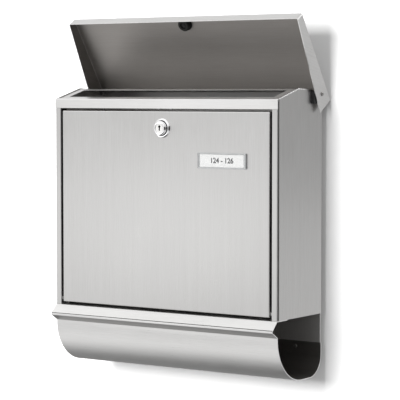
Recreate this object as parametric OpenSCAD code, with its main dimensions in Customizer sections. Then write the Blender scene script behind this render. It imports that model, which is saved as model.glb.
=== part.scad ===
// Wall mounted mailbox with a hinged rain lid, a lockable front door and an
// open newspaper tube under the letter compartment. Folded stainless sheet.
// Millimetres. X runs across the box, -Y is the front, Y = 0 is the wall and
// +Z is up. The origin is the middle of the four wall screws, on the wall.
// The lid stands open at rest, the door is shut and its lock is unlocked.

/* [Body] */
// Width over the side panels
body_w = 370; // [300:1:450]
// Depth from the front frame's face to the rear edge of the side panels
body_d = 114; // [95:1:140]
// Height from the top of the header band to the foot of the side panels
front_h = 291; // [242:1:350]
// Height of the header band's top above the middle of the wall screws
mount_drop = 130; // [120:1:150]
// Gap between the wall and the rear edges of the box, kept by the wall spacers
wall_gap = 11; // [11:0.5:20]
// Thickness of the folded sheet
sheet_t = 1; // [0.8:0.1:1.2]

/* [Roof and letter inlet] */
// Height of the header band
header_h = 13; // [11:0.5:20]
// How far the header stands proud of the frame's face and sides
header_proud = 0.5; // [0.3:0.1:1]
// Distance from the front frame's face back to the ridge of the roof
ridge_back = 53; // [47:1:60]
// Rise of the side panels' ridge above the header's top
ridge_rise = 14.6; // [12:0.1:16]
// Fall of the roof from the ridge to its rear edge
rear_fall = 3; // [2:0.1:4]
// How far the side panels' top edges stand above the roof sheet
edge_rise = 0.8; // [0.3:0.1:1]
// Sheet left between the inlet slot's end and the outside of the box
slot_margin = 14.5; // [10:0.5:25]
// Sheet left between the front frame's face and the inlet slot
slot_setback = 13; // [9:0.5:15]
// Opening of the inlet slot, front to back
slot_open = 34; // [28:0.5:35]

/* [Front frame and door] */
// Visible width of the frame's stiles
stile_w = 8.8; // [8:0.1:14]
// Gap between the door and the stiles
door_gap_side = 3.2; // [2.5:0.1:5]
// Gap between the door and the header
door_gap_top = 3.3; // [2.5:0.1:5]
// Gap between the door and the newspaper tube's top fold
door_gap_foot = 4; // [3.6:0.1:6]
// Depth of the door's folded edges
door_depth = 11; // [10:0.5:12]
// Width of the door edges' inner lips
door_lip = 8; // [5:0.5:12]
// Depth of the stiles' inner folds
stile_depth = 15; // [14.5:0.5:18]
// Depth of the outer rim folded round the front frame
rim_depth = 2.1; // [1.8:0.1:3]
// Width of the shadow groove between the frame's rim and the side panels
groove_w = 1.5; // [1:0.1:2.5]
// Distance of the door's pivots behind the door's face
pivot_back = 6; // [5:0.1:7]
// Height of the door's pivots above the door's lower edge
pivot_up = 4.5; // [4:0.1:6]

/* [Hinges] */
// Diameter of the lid's and the door's hinge pins
pin_d = 4; // [3.2:0.1:4.8]
// Radial play of a pin in the holes it passes through
pin_play = 0.05; // [0.03:0.01:0.08]
// Lid pins: distance in front of the side panels' rear edge
pin_setback = 12; // [11.5:0.5:14]
// Lid pins: height above the header's top
pin_rise = 7; // [6:0.1:8]
// Thickness of the black hinge blocks between the side panels and the lid
block_t = 5; // [4:0.5:7]
// Length of a hinge block, front to back
block_l = 28; // [24:1:34]
// Height of a hinge block
block_h = 17; // [14:1:22]

/* [Lid] */
// Gap between a hinge block and the lid's side flange
flange_gap = 0.5; // [0.3:0.1:1]
// Reach of the closed lid in front of the front frame
lid_overhang = 16; // [12:0.5:20]
// Length of the lid behind its hinge pins
lid_tail = 19; // [16:0.5:19]
// Height of the lid's top face above the hinge pins
lid_top = 15; // [14.9:0.1:17]
// Depth of the lid's front lip
lip_h = 14; // [10:0.5:18]
// Depth of the lid's side flanges at their rear end
flange_h = 33; // [28:0.5:33]
// Angle at which the open lid stands, above the horizontal
lid_open = 57; // [0:1:86]
// Diameter of the rubber buffer under the lid
buffer_d = 20.4; // [16:0.2:24]
// Height of the rubber buffer
buffer_h = 7.2; // [5:0.1:7.2]

/* [Lock] */
// Distance of the lock's axis below the header's top
lock_drop = 39.5; // [37:0.5:50]
// Diameter of the lock's barrel
barrel_d = 16; // [14:0.1:19.2]
// Wall between the lock's barrel and its turning plug
barrel_wall = 2; // [1.5:0.1:3]
// Diameter of the chrome ring round the lock
ring_d = 26.8; // [26:0.2:32]
// Height of the lock's head above the door
head_h = 7.7; // [5:0.1:10]
// Reach of the cam's tongue from the lock's axis
cam_reach = 32; // [30:0.5:33]
// Thickness of the cam
cam_t = 2; // [1.5:0.1:3]
// Gap between the cam and the keeper that it hooks behind
cam_gap = 0.6; // [0.4:0.1:1]

/* [Name plate] */
// Distance of the plate's middle to the right of the box's middle
plate_x = 98.5; // [60:0.5:110]
// Distance of the plate's middle below the header's top
plate_drop = 82; // [75:0.5:120]
// Width of the plate holder
plate_w = 77; // [65:0.5:92.5]
// Height of the plate holder
plate_h = 21.5; // [18:0.5:26]
// Depth of the plate holder in front of the door
plate_t = 2.6; // [2.2:0.1:4]
// Thickness of the plate holder's rim
plate_rim = 1.6; // [1.2:0.1:2.5]

/* [Newspaper tube] */
// How far the tube's ridge stands in front of the front frame
awning_out = 12; // [8:0.5:14]
// Fall from the foot of the box to the tube's ridge
awning_fall = 12.5; // [10:0.5:16]
// Height of the fold under the ridge
awning_fold = 10; // [8:0.5:14]
// Setback of the tube's face behind the front frame's face
tube_setback = 0.8; // [0:0.1:3]
// Radius of the tube's front curve
tube_r = 61.2; // [51:0.2:62]
// Radius of the tube's rear curve
tube_rear_r = 30; // [25:0.5:36]
// Height of the tube's rear flange
tube_flange = 15; // [12:0.5:20]
// Depth of the tube's fixing fold under the box
tube_fix = 26; // [24:0.5:32]

/* [Wall fixing] */
// Spacing of the wall screws, side to side
screw_x = 260; // [200:1:280]
// Spacing of the wall screws, top to bottom
screw_z = 200; // [150:1:200]
// Diameter of the wall screws' holes
screw_hole_d = 7; // [5:0.1:8.4]
// Diameter of the wall spacers
spacer_d = 16; // [13:0.5:20]

/* [Fixings] */
// Diameter of the rivets' shanks
rivet_d = 3.2; // [2.6:0.1:4]
// Diameter of the rivets' outer heads
rivet_head_d = 6.8; // [6:0.1:8]

/* [Hidden] */

$fn = 64;

// Colours of the finishes
steel = "#b9babb";
steel_dark = "#8e8f90";
chrome = "#dfe1e3";
plastic_black = "#1b1b1c";
rubber_black = "#151515";
zinc = "#a8abad";
paper = "#f4f4f0";

// Small allowances that several pieces share
slack = 0.2;        // between sheets that lie side by side
stop_gap = 0.3;     // between pieces of different bodies that nearly touch
head_t = 1;         // thickness of a rivet's outer head
tail_t = 0.8;       // thickness of a rivet's inner head
cut = 1;            // how far a cutting body runs past the face it cuts

// The box: main planes
x_side = body_w / 2;
y_rear = -wall_gap;
y_front = y_rear - body_d;
z_head = mount_drop;
z_foot = z_head - front_h;
y_ridge = y_front + ridge_back;
roof_slope = ridge_rise / ridge_back;
rear_slope = rear_fall / (y_rear - y_ridge);
x_inner = x_side - sheet_t - slack;

// Heights of the side panels' top edge and of the roof sheet at a given depth
function edge_z(y) = y < y_ridge ? z_head + (y - y_front) * roof_slope
                                 : z_head + ridge_rise - (y - y_ridge) * rear_slope;
function roof_z(y) = edge_z(y) - edge_rise;

// Front frame and door
x_stile = x_side - stile_w;
x_door = x_stile - door_gap_side;
z_door_top = z_head - header_h - door_gap_top;
z_door_foot = z_foot + door_gap_foot;
y_rim = y_front + rim_depth;
y_side_front = y_rim + groove_w;
y_stile_rear = y_front + stile_depth;
y_door_rear = y_front + door_depth;
y_rail = y_front - header_proud + sheet_t + 0.1;
y_pivot = y_front + pivot_back;
z_pivot = z_door_foot + pivot_up;
joggle = 1.4;       // step of the side panels' front edge behind the frame

// Lid hinge
pin_r = pin_d / 2;
bore_r = pin_r + pin_play;
y_pin = y_rear - pin_setback;
z_pin = z_head + pin_rise;
x_block = x_side + block_t;
x_flange = x_block + flange_gap;
x_lid = x_flange + sheet_t;
pin_head_t = 0.9;
pin_head_r = pin_r + 1;
pin_tail = 3;       // length of a pin inside the side panel
clip_r = pin_r + 1;
clip_t = 1;

// Lid, measured from its hinge axis with the lid lying level
lid_front = y_front - lid_overhang - y_pin;
lid_under = lid_top - sheet_t;
lid_corner = 3;     // cut across the flanges' rear top corner
buffer_r = buffer_d / 2;
buffer_y = lid_front + sheet_t + 0.6 + buffer_r;

// Lock, measured from the door's face
z_lock = z_head - lock_drop;
barrel_r = barrel_d / 2;
plug_r = barrel_r - barrel_wall;
head_r = barrel_r + 1.7;
barrel_len = stile_depth + 0.6;
cam_front = barrel_len + 0.1;
stub_r = plug_r / 2;
stub_len = 7;
cam_w = 12;
keeper_t = 1;
keeper_y = y_front + cam_front - cam_gap - keeper_t;
keeper_w = 40;
keeper_h = 9;
y_rail_rear = keeper_y;
nut_af = 22;        // lock nut, across flats
nut_t = 3;

// Name plate
z_plate = z_head - plate_drop;
window_t = 0.8;
card_t = 0.4;
plate_floor = plate_t - window_t - card_t - 0.2;
peg_r = 1.5;
peg_x = plate_w / 2 - 8.5;
peg_len = 4;

// Newspaper tube
y_tube = y_front + tube_setback;
z_ridge_tube = z_foot - awning_fall;
z_tube_face = z_ridge_tube - awning_fold;
z_tube_mid = z_tube_face - 1.4;
z_tube_low = z_tube_mid - tube_r;
y_tube_rear = y_rear - sheet_t;
z_back_foot = z_tube_low + tube_rear_r + 1;
z_tube_top = z_tube_low + tube_rear_r + tube_flange;

// Floor of the letter compartment
floor_up = 6;       // height of the floor above the foot of the side panels
floor_leg = 15;     // depth of the fold under the floor's front leg
floor_back = 12;    // height of the floor's rear flange
y_floor_front = y_stile_rear;

// Letter guard
guard_top = 42;     // top of the guard below the header's top
guard_flange = 16;
guard_out = 34;
guard_fall = 20;
guard_end = 22;     // distance of the guard's ends from the outside of the box

// Rivets
rivet_r = rivet_d / 2;
rivet_hole_r = rivet_r + pin_play;
rivet_head_r = rivet_head_d / 2;
rivet_tail_r = rivet_r + 1;

// Rivet places: [x, z] on the back, and x along the tube's front fold
casing_rivet_xs = [-x_side * 0.78, 0, x_side * 0.78];
roof_flange_h = 12;
z_roof_rivet = roof_z(y_rear) - sheet_t - roof_flange_h / 2 - 0.5;
z_floor_rivet = z_foot + floor_up + floor_back / 2 + 0.5;
tube_front_xs = [for (k = [-3 : 2 : 3]) k * x_side / 4];
y_tube_rivet = y_floor_front + floor_leg / 2 + 1;
z_tube_rivet = z_tube_top - tube_flange / 2;
guard_rivet_xs = [-x_side * 0.62, x_side * 0.62];
z_guard_rivet = z_head - guard_top - guard_flange / 2;

// ---- helpers ----

function unit(v) = v / norm(v);
function left_of(a, b) = let (d = unit(b - a)) [-d.y, d.x];

// Point i of a path, moved by t to the path's left with mitred corners
function shifted(path, i, t) =
    let (
        last = len(path) - 1,
        n1 = i > 0 ? left_of(path[i - 1], path[i]) : left_of(path[0], path[1]),
        n2 = i < last ? left_of(path[i], path[i + 1]) : n1
    )
    path[i] + t * (n1 + n2) / (1 + n1 * n2);

// Outline of a folded sheet: one face follows the path, the other is t to its left
function strip(path, t) = concat(
    path,
    [for (i = [len(path) - 1 : -1 : 0]) shifted(path, i, t)]
);

// Points of an arc about c from angle a0 to a1
function arc(c, r, a0, a1, steps) =
    [for (k = [0 : steps]) let (a = a0 + (a1 - a0) * k / steps) c + r * [cos(a), sin(a)]];

// Rectangle with rounded corners, centred on the origin
function round_rect(w, h, r) = concat(
    arc([w / 2 - r, h / 2 - r], r, 0, 90, 8),
    arc([r - w / 2, h / 2 - r], r, 90, 180, 8),
    arc([r - w / 2, r - h / 2], r, 180, 270, 8),
    arc([w / 2 - r, r - h / 2], r, 270, 360, 8)
);

// Carries a flat outline drawn in (y, z) along X from x0 to x1
module along_x(x0, x1) {
    translate([x0, 0, 0]) rotate([90, 0, 90]) linear_extrude(x1 - x0) children();
}

// Carries a flat outline drawn in (x, z) along Y from y0 to y1
module along_y(y0, y1) {
    translate([0, y1, 0]) rotate([90, 0, 0]) linear_extrude(y1 - y0) children();
}

module folded(path, x0, x1) {
    along_x(x0, x1) polygon(strip(path, sheet_t));
}

module box(lo, hi) {
    translate(lo) cube(hi - lo);
}

module both_sides() {
    children();
    mirror([1, 0, 0]) children();
}

// Round bars along X, Y and Z, from a lower to a higher end
module bar_x(x0, x1, y, z, r) {
    translate([x0, y, z]) rotate([0, 90, 0]) cylinder(h = x1 - x0, r = r);
}

module bar_y(x, y0, y1, z, r) {
    translate([x, y0, z]) rotate([-90, 0, 0]) cylinder(h = y1 - y0, r = r);
}

module bar_z(x, y, z0, z1, r) {
    translate([x, y, z0]) cylinder(h = z1 - z0, r = r);
}

// Rivet along Z: outer head below z = 0, inner head above the grip
module rivet(grip) {
    translate([0, 0, -head_t]) cylinder(h = head_t, r1 = rivet_head_r - 0.8, r2 = rivet_head_r);
    cylinder(h = grip, r = rivet_r);
    translate([0, 0, grip]) cylinder(h = tail_t, r = rivet_tail_r);
}

// A row of rivets through the back panel, from outside the box inwards
module back_rivets(xs, z, grip) {
    for (x = xs)
        translate([x, y_rear, z]) rotate([90, 0, 0]) rivet(grip);
}

// ---- casing ----

module side_outline() {
    polygon([
        [y_side_front, z_foot],
        [y_side_front, edge_z(y_side_front)],
        [y_ridge, edge_z(y_ridge)],
        [y_rear, edge_z(y_rear)],
        [y_rear, z_foot]
    ]);
}

module side_panel() {
    along_x(x_side - sheet_t, x_side) side_outline();
    // joggled front edge that the frame's rim reaches over
    box([x_side - joggle - sheet_t, y_side_front, z_foot],
        [x_side, y_side_front + sheet_t, z_head - 2]);
    box([x_side - joggle - sheet_t, y_front + sheet_t, z_foot],
        [x_side - joggle, y_side_front + sheet_t, z_head - 2]);
}

module wall_screw_places() {
    for (sx = [-1, 1], sz = [-1, 1])
        translate([sx * screw_x / 2, 0, sz * screw_z / 2]) children();
}

module casing_shell() {
    color(steel) difference() {
        union() {
            both_sides() side_panel();
            box([-x_side, y_rear - sheet_t, z_back_foot],
                [x_side, y_rear, roof_z(y_rear) - sheet_t]);
        }
        wall_screw_places() bar_y(0, y_rear - sheet_t - cut, y_rear + cut, 0, screw_hole_d / 2);
        both_sides() bar_x(x_side - sheet_t - cut, x_side + cut, y_pin, z_pin, bore_r);
        for (x = casing_rivet_xs) {
            bar_y(x, y_rear - sheet_t - cut, y_rear + cut, z_roof_rivet, rivet_hole_r);
            bar_y(x, y_rear - sheet_t - cut, y_rear + cut, z_floor_rivet, rivet_hole_r);
            bar_y(x, y_rear - sheet_t - cut, y_rear + cut, z_tube_rivet, rivet_hole_r);
        }
        for (x = guard_rivet_xs)
            bar_y(x, y_rear - sheet_t - cut, y_rear + cut, z_guard_rivet, rivet_hole_r);
    }
}

module inlet_panel() {
    y_face = y_front - header_proud;
    z_top = z_head;
    slope_run = y_side_front - slack - y_face;
    color(steel) difference() {
        union() {
            // header band, folded over the front and as wide as the whole box
            folded([
                [y_side_front - slack, z_top + slope_run * roof_slope],
                [y_face, z_top],
                [y_face, z_head - header_h]
            ], -x_side - header_proud, x_side + header_proud);
            // roof between the side panels, with a flange down the back panel
            folded([
                [y_rear - sheet_t, roof_z(y_rear) - roof_flange_h],
                [y_rear - sheet_t, roof_z(y_rear)],
                [y_ridge, roof_z(y_ridge)],
                [y_side_front - slack - 1.5, roof_z(y_side_front - slack - 1.5)]
            ], -x_inner, x_inner);
            box([-x_inner, y_rear - sheet_t, roof_z(y_rear) - sheet_t],
                [x_inner, y_rear, roof_z(y_rear)]);
        }
        box([-x_side + slot_margin, y_front + slot_setback, z_head - header_h],
            [x_side - slot_margin, y_front + slot_setback + slot_open, z_head + 2 * ridge_rise]);
        for (x = casing_rivet_xs)
            bar_y(x, y_rear - 2 * sheet_t - cut, y_rear - sheet_t + cut, z_roof_rivet, rivet_hole_r);
    }
}

module stile() {
    z_top = z_head - header_h - 0.1;
    box([x_stile, y_front, z_foot], [x_side, y_front + sheet_t, z_top]);
    box([x_side - sheet_t, y_front, z_foot], [x_side, y_rim, z_top]);
    box([x_stile, y_front, z_foot], [x_stile + sheet_t, y_stile_rear, z_top]);
    // upper end of the stile, set back behind the header
    box([x_stile, y_rail, z_top - 2],
        [x_side - joggle - sheet_t - slack, y_rail + sheet_t, z_head - 2]);
}

module front_frame() {
    z_under = z_head - header_h;
    color(steel) difference() {
        union() {
            both_sides() stile();
            box([-x_stile - sheet_t, y_rail, z_under], [x_stile + sheet_t, y_rail + sheet_t, z_head - 2]);
            box([-x_stile - sheet_t, y_rail, z_under], [x_stile + sheet_t, y_rail_rear, z_under + sheet_t]);
        }
        both_sides() bar_x(x_stile - cut, x_stile + sheet_t + cut, y_pivot, z_pivot, bore_r);
        for (x = [-keeper_w / 4, keeper_w / 4])
            bar_z(x, y_front + stile_depth / 2, z_under - cut, z_under + sheet_t + cut, rivet_hole_r);
    }
}

module floor_panel() {
    z_floor = z_foot + floor_up;
    color(steel) difference() {
        folded([
            [y_rear - 2 * sheet_t, z_floor + floor_back],
            [y_rear - 2 * sheet_t, z_floor],
            [y_floor_front, z_floor],
            [y_floor_front, z_foot],
            [y_floor_front + floor_leg, z_foot]
        ], -x_inner, x_inner);
        for (x = casing_rivet_xs)
            bar_y(x, y_rear - 2 * sheet_t - cut, y_rear - sheet_t + cut, z_floor_rivet, rivet_hole_r);
        for (x = tube_front_xs)
            bar_z(x, y_tube_rivet, z_foot - cut, z_foot + sheet_t + cut, rivet_hole_r);
    }
}

module newspaper_tube() {
    centre = [y_tube + tube_r, z_tube_mid];
    rear_centre = [y_tube_rear - tube_rear_r, z_tube_low + tube_rear_r];
    path = concat(
        [
            [y_front + tube_fix, z_foot],
            [y_front, z_foot],
            [y_front - awning_out, z_ridge_tube],
            [y_tube, z_tube_face]
        ],
        arc(centre, tube_r, 180, 270, 24),
        arc(rear_centre, tube_rear_r, 270, 360, 12),
        [[y_tube_rear, z_tube_top]]
    );
    color(steel) difference() {
        folded(path, -x_side, x_side);
        for (x = tube_front_xs)
            bar_z(x, y_tube_rivet, z_foot - sheet_t - cut, z_foot + cut, rivet_hole_r);
        for (x = casing_rivet_xs)
            bar_y(x, y_tube_rear - sheet_t - cut, y_tube_rear + cut, z_tube_rivet, rivet_hole_r);
    }
}

module letter_guard() {
    y_back = y_rear - 2 * sheet_t;
    z_top = z_head - guard_top;
    color(steel_dark) difference() {
        folded([
            [y_back, z_top],
            [y_back, z_top - guard_flange],
            [y_back - guard_out, z_top - guard_flange - guard_fall],
            [y_back - guard_out - 2, z_top - guard_flange - guard_fall - 8]
        ], -x_side + guard_end, x_side - guard_end);
        for (x = guard_rivet_xs)
            bar_y(x, y_back - cut, y_back + sheet_t + cut, z_guard_rivet, rivet_hole_r);
    }
}

module hinge_block() {
    y_mid = y_rear - 2 - block_l / 2;
    z_mid = edge_z(y_mid) - 1.5 - block_h / 2;
    difference() {
        along_x(x_side, x_block) translate([y_mid, z_mid]) polygon(round_rect(block_l, block_h, 2.5));
        bar_x(x_side - cut, x_block + cut, y_pin, z_pin, bore_r);
    }
}

module hinge_blocks() {
    color(plastic_black) both_sides() hinge_block();
}

module lid_pin() {
    bar_x(x_side - sheet_t - pin_tail, x_lid + 0.1, y_pin, z_pin, pin_r);
    translate([x_lid + 0.1, y_pin, z_pin]) rotate([0, 90, 0])
        cylinder(h = pin_head_t, r1 = pin_head_r, r2 = pin_head_r - 0.7);
}

module lid_pins() {
    color(zinc) both_sides() lid_pin();
}

module pin_clips() {
    x_clip = x_side - sheet_t - 0.1;
    color(zinc) both_sides() difference() {
        bar_x(x_clip - clip_t, x_clip, y_pin, z_pin, clip_r);
        bar_x(x_clip - clip_t - cut, x_clip + cut, y_pin, z_pin, bore_r);
    }
}

module door_pivot() {
    // collar in the gap, pin through the door's flange and head inside the stile
    bar_x(x_door + stop_gap, x_stile, y_pivot, z_pivot, pin_r + 1.2);
    bar_x(x_door - sheet_t - 2.5, x_stile + sheet_t + 0.1, y_pivot, z_pivot, pin_r);
    bar_x(x_stile + sheet_t, x_stile + 2 * sheet_t, y_pivot, z_pivot, pin_r + 1.4);
}

module door_pivots() {
    color(zinc) both_sides() door_pivot();
}

module lock_keeper() {
    z_under = z_head - header_h + sheet_t;
    color(zinc) {
        box([-keeper_w / 2, y_rail + 2 * sheet_t, z_under],
            [keeper_w / 2, keeper_y + keeper_t, z_under + keeper_t]);
        box([-keeper_w / 2, keeper_y, z_under], [keeper_w / 2, keeper_y + keeper_t, z_under + keeper_h]);
        // two stakes hold the keeper on the frame's top rail
        for (x = [-keeper_w / 4, keeper_w / 4]) {
            bar_z(x, y_front + stile_depth / 2, z_under - sheet_t - tail_t, z_under, rivet_r);
            bar_z(x, y_front + stile_depth / 2, z_under - sheet_t - tail_t, z_under - sheet_t, rivet_tail_r);
        }
    }
}

module door_buffers() {
    z_mid = z_door_top - 10;
    color(rubber_black) both_sides()
        along_y(y_door_rear + stop_gap, y_stile_rear - 1)
            translate([x_stile - 4.5, z_mid]) polygon(round_rect(9, 12, 1.5));
}

module wall_spacers() {
    color(plastic_black) wall_screw_places() difference() {
        bar_y(0, y_rear, 0, 0, spacer_d / 2);
        bar_y(0, y_rear - cut, cut, 0, screw_hole_d / 2);
    }
}

module casing_rivets() {
    color(zinc) {
        back_rivets(casing_rivet_xs, z_roof_rivet, 2 * sheet_t);
        back_rivets(casing_rivet_xs, z_floor_rivet, 2 * sheet_t);
    }
}

module tube_rivets() {
    color(zinc) {
        back_rivets(casing_rivet_xs, z_tube_rivet, 2 * sheet_t);
        for (x = tube_front_xs)
            translate([x, y_tube_rivet, z_foot - sheet_t]) rivet(2 * sheet_t);
    }
}

module guard_rivets() {
    color(zinc) back_rivets(guard_rivet_xs, z_guard_rivet, 2 * sheet_t);
}

// ---- lid ----

// Places a piece drawn with the lid level and its hinge axis at the origin
module on_lid() {
    translate([0, y_pin, z_pin]) rotate([-lid_open, 0, 0]) children();
}

module lid_flange() {
    along_x(x_flange, x_lid) polygon([
        [lid_front, lid_top],
        [lid_front, lid_top - lip_h],
        [lid_tail, lid_top - flange_h],
        [lid_tail, lid_top - lid_corner],
        [lid_tail - lid_corner, lid_top]
    ]);
}

module lid_panel() {
    color(steel) on_lid() difference() {
        union() {
            box([-x_lid, lid_front, lid_under], [x_lid, lid_tail - lid_corner, lid_top]);
            box([-x_lid, lid_front, lid_top - lip_h], [x_lid, lid_front + sheet_t, lid_top]);
            both_sides() lid_flange();
        }
        both_sides() bar_x(x_flange - cut, x_lid + cut, 0, 0, bore_r);
        bar_z(0, buffer_y, lid_under - cut, lid_top + cut, rivet_hole_r);
    }
}

module lid_buffer() {
    edge = 2;
    recess_r = buffer_r * 0.45;
    recess_h = 2.2;
    color(rubber_black) on_lid() translate([0, buffer_y, lid_under]) mirror([0, 0, 1])
        rotate_extrude() polygon(concat(
            [[rivet_hole_r, 0], [buffer_r, 0]],
            arc([buffer_r - edge, buffer_h - edge], edge, 0, 90, 6),
            [[recess_r, buffer_h], [recess_r, buffer_h - recess_h], [rivet_hole_r, buffer_h - recess_h]]
        ));
}

module buffer_rivet() {
    grip = sheet_t + buffer_h - 2.2;
    color(zinc) on_lid() translate([0, buffer_y, lid_top]) mirror([0, 0, 1]) {
        translate([0, 0, -head_t]) cylinder(h = head_t, r1 = rivet_head_r - 0.8, r2 = rivet_head_r);
        cylinder(h = grip, r = rivet_r);
        translate([0, 0, grip]) cylinder(h = tail_t, r = rivet_tail_r);
    }
}

// ---- door ----

module door_panel() {
    t = sheet_t;
    color(steel) difference() {
        union() {
            box([-x_door, y_front, z_door_foot], [x_door, y_front + t, z_door_top]);
            both_sides() {
                box([x_door - t, y_front, z_door_foot], [x_door, y_door_rear, z_door_top]);
                box([x_door - door_lip, y_door_rear - t, z_door_foot + 12], [x_door, y_door_rear, z_door_top]);
            }
            box([-x_door, y_front, z_door_top - t], [x_door, y_door_rear, z_door_top]);
            box([-x_door, y_door_rear - t, z_door_top - door_lip], [x_door, y_door_rear, z_door_top]);
            box([-x_door, y_front, z_door_foot], [x_door, y_door_rear, z_door_foot + t]);
        }
        both_sides() bar_x(x_door - t - cut, x_door + cut, y_pivot, z_pivot, bore_r);
        bar_y(0, y_front - cut, y_front + t + cut, z_lock, barrel_r + 0.1);
        for (s = [-1, 1])
            bar_y(plate_x + s * peg_x, y_front - cut, y_front + t + cut, z_plate, peg_r + 0.05);
    }
}

// Places a piece turned about the lock's axis, drawn with +Z out of the door
module on_lock() {
    translate([0, y_front, z_lock]) rotate([90, 0, 0]) children();
}

module lock_housing() {
    ring_r = ring_d / 2;
    bore = plug_r + pin_play;
    color(chrome) on_lock() rotate_extrude() polygon([
        [bore, -barrel_len],
        [barrel_r, -barrel_len],
        [barrel_r, 0],
        [ring_r, 0],
        [ring_r, 1.2],
        [ring_r - 1, 2.2],
        [head_r + 1, 2.8],
        [head_r, 3.6],
        [head_r, head_h - 0.6],
        [head_r - 0.6, head_h],
        [bore + 0.8, head_h],
        [bore, head_h - 0.8]
    ]);
}

module lock_nut() {
    color(zinc) on_lock() difference() {
        translate([0, 0, -sheet_t - nut_t]) cylinder(h = nut_t, d = nut_af / cos(30), $fn = 6);
        translate([0, 0, -sheet_t - nut_t - cut]) cylinder(h = nut_t + 2 * cut, r = barrel_r + 0.05);
    }
}

module lock_plug() {
    face = head_h - 1.1;
    slot_w = 1.8;
    slot_h = 7.4;
    slot_deep = 9;
    color(chrome) on_lock() difference() {
        union() {
            translate([0, 0, -barrel_len]) cylinder(h = barrel_len + face, r = plug_r);
            translate([0, 0, -barrel_len - stub_len]) cylinder(h = stub_len + cut, r = stub_r);
        }
        box([-slot_w / 2, -slot_h / 2, face - slot_deep], [slot_w / 2, slot_h / 2, face + cut]);
        translate([0, slot_h / 2 - 1.2, face - slot_deep]) cylinder(h = slot_deep + cut, r = 1.5);
    }
}

module lock_cam() {
    color(zinc) on_lock() translate([0, 0, -cam_front - cam_t]) difference() {
        union() {
            cylinder(h = cam_t, r = cam_w / 2 + 1.5);
            box([0, -cam_w / 2, 0], [cam_reach - cam_w / 2, cam_w / 2, cam_t]);
            translate([cam_reach - cam_w / 2, 0, 0]) cylinder(h = cam_t, r = cam_w / 2);
        }
        translate([0, 0, -cut]) cylinder(h = cam_t + 2 * cut, r = stub_r + pin_play);
    }
}

module cam_nut() {
    nut_h = 3.5;
    color(zinc) on_lock() translate([0, 0, -cam_front - cam_t - 0.1 - nut_h]) difference() {
        cylinder(h = nut_h, d = 4 * stub_r - 1, $fn = 6);
        translate([0, 0, -cut]) cylinder(h = nut_h + 2 * cut, r = stub_r + pin_play);
    }
}

// Places a piece drawn in the name plate's plane, with +Z out of the door
module on_plate() {
    translate([plate_x, y_front, z_plate]) rotate([90, 0, 0]) children();
}

module plate_holder() {
    inner_w = plate_w - 2 * plate_rim;
    inner_h = plate_h - 2 * plate_rim;
    color(zinc) on_plate() {
        difference() {
            linear_extrude(plate_t) polygon(round_rect(plate_w, plate_h, 1.2));
            translate([0, 0, plate_floor]) linear_extrude(plate_t) polygon(round_rect(inner_w, inner_h, 0.6));
        }
        for (s = [-1, 1])
            translate([s * peg_x, 0, -peg_len]) cylinder(h = peg_len + 0.5, r = peg_r);
    }
}

module name_card() {
    margin = 0.6;
    color(paper) on_plate() translate([0, 0, plate_floor + 0.05]) linear_extrude(card_t)
        polygon(round_rect(plate_w - 2 * (plate_rim + margin) - 3, plate_h - 2 * (plate_rim + margin), 0.4));
}

module plate_window() {
    margin = 0.15;
    color("#e8eef0", 0.4) on_plate() translate([0, 0, plate_t - window_t - 0.05]) linear_extrude(window_t)
        polygon(round_rect(plate_w - 2 * (plate_rim + margin), plate_h - 2 * (plate_rim + margin), 0.6));
}

module plate_clips() {
    color(zinc) on_plate() for (s = [-1, 1])
        translate([s * peg_x, 0, -sheet_t - 1.3]) difference() {
            cylinder(h = 1.2, r = peg_r + 2.2);
            translate([0, 0, -cut]) cylinder(h = 1.2 + 2 * cut, r = peg_r + 0.05);
        }
}

casing_shell();
inlet_panel();
front_frame();
floor_panel();
newspaper_tube();
letter_guard();
hinge_blocks();
lid_pins();
pin_clips();
door_pivots();
lock_keeper();
door_buffers();
wall_spacers();
casing_rivets();
tube_rivets();
guard_rivets();
lid_panel();
lid_buffer();
buffer_rivet();
door_panel();
lock_housing();
lock_nut();
plate_holder();
name_card();
plate_window();
plate_clips();
lock_plug();
lock_cam();
cam_nut();
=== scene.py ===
# %% [markdown]
# # A wall mounted mailbox in brushed stainless steel
# The real box is bent from 1 mm sheet: a casing with a sloped roof, a front door, a rain lid and
# a rolled newspaper tube below. Every sheet here is a curve that is carried along a straight line
# and then given its thickness, which is how a press brake makes the real ones.
# The working parts come as a finished frame. This file gives each piece its rounded bends, its
# finish and its light, and never moves anything.

# %% Load the frame
from math import pi, radians

import bmesh
import bpy
import numpy as np
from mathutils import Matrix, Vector


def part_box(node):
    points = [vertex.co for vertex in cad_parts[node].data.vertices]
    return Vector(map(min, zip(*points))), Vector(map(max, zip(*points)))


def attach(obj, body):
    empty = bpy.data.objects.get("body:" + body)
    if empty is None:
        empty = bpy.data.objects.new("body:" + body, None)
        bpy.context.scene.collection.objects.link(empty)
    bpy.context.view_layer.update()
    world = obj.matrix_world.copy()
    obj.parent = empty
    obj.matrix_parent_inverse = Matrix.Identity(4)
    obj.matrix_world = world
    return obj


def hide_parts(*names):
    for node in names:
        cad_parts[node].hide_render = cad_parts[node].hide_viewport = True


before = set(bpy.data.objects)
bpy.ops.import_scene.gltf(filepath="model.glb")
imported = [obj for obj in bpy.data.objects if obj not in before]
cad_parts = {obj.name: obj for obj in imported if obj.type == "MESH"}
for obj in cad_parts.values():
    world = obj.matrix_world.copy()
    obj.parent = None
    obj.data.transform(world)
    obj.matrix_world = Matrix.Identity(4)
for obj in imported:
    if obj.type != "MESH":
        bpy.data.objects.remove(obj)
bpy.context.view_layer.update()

# %% [markdown]
# Sizes are easiest to think about in millimetres, as on a drawing. The main planes are read from
# the frame's own pieces, so nothing has to be fitted by eye.

# %% Main planes, in millimetres


def plane(node):
    """Lowest and highest corner of a frame piece, in millimetres."""
    lo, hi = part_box(node)
    return np.array(lo) * 1000, np.array(hi) * 1000


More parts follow.
